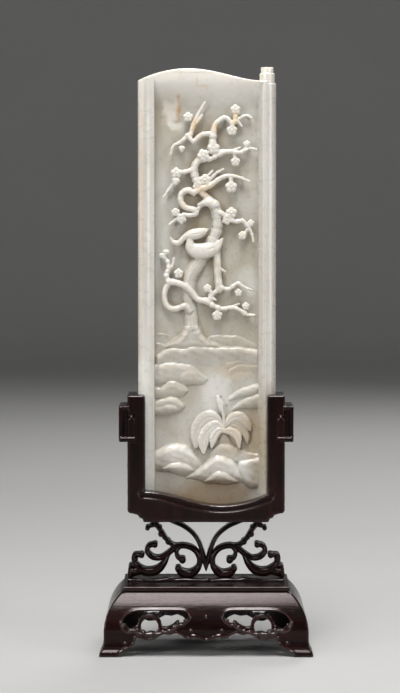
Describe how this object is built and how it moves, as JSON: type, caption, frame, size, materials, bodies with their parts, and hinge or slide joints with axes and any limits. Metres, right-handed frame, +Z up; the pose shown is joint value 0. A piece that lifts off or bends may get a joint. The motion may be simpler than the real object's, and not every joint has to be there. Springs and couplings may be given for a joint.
{
  "type": "jade plaque on stand",
  "caption": "Upright carved jade scroll plaque with a blossoming tree, bird and rocks in high relief, held in a grooved hardwood cradle on an openwork support and a low footed base.",
  "frame": {"origin": "on the surface it stands on, under the middle of the four feet", "axes": "+X to the viewer's right, +Y from the carved face to the back, +Z up along the plaque"},
  "size_m": [0.0968, 0.066, 0.267],
  "materials": {
    "jade": "polished pale celadon jade",
    "hardwood": "dark purplish-brown hardwood with a waxed polish"
  },
  "bodies": {
    "root": {"jade_plaque": "jade", "stand_cradle": "hardwood", "scroll_support": "hardwood", "stand_base": "hardwood"}
  },
  "joints": []
}
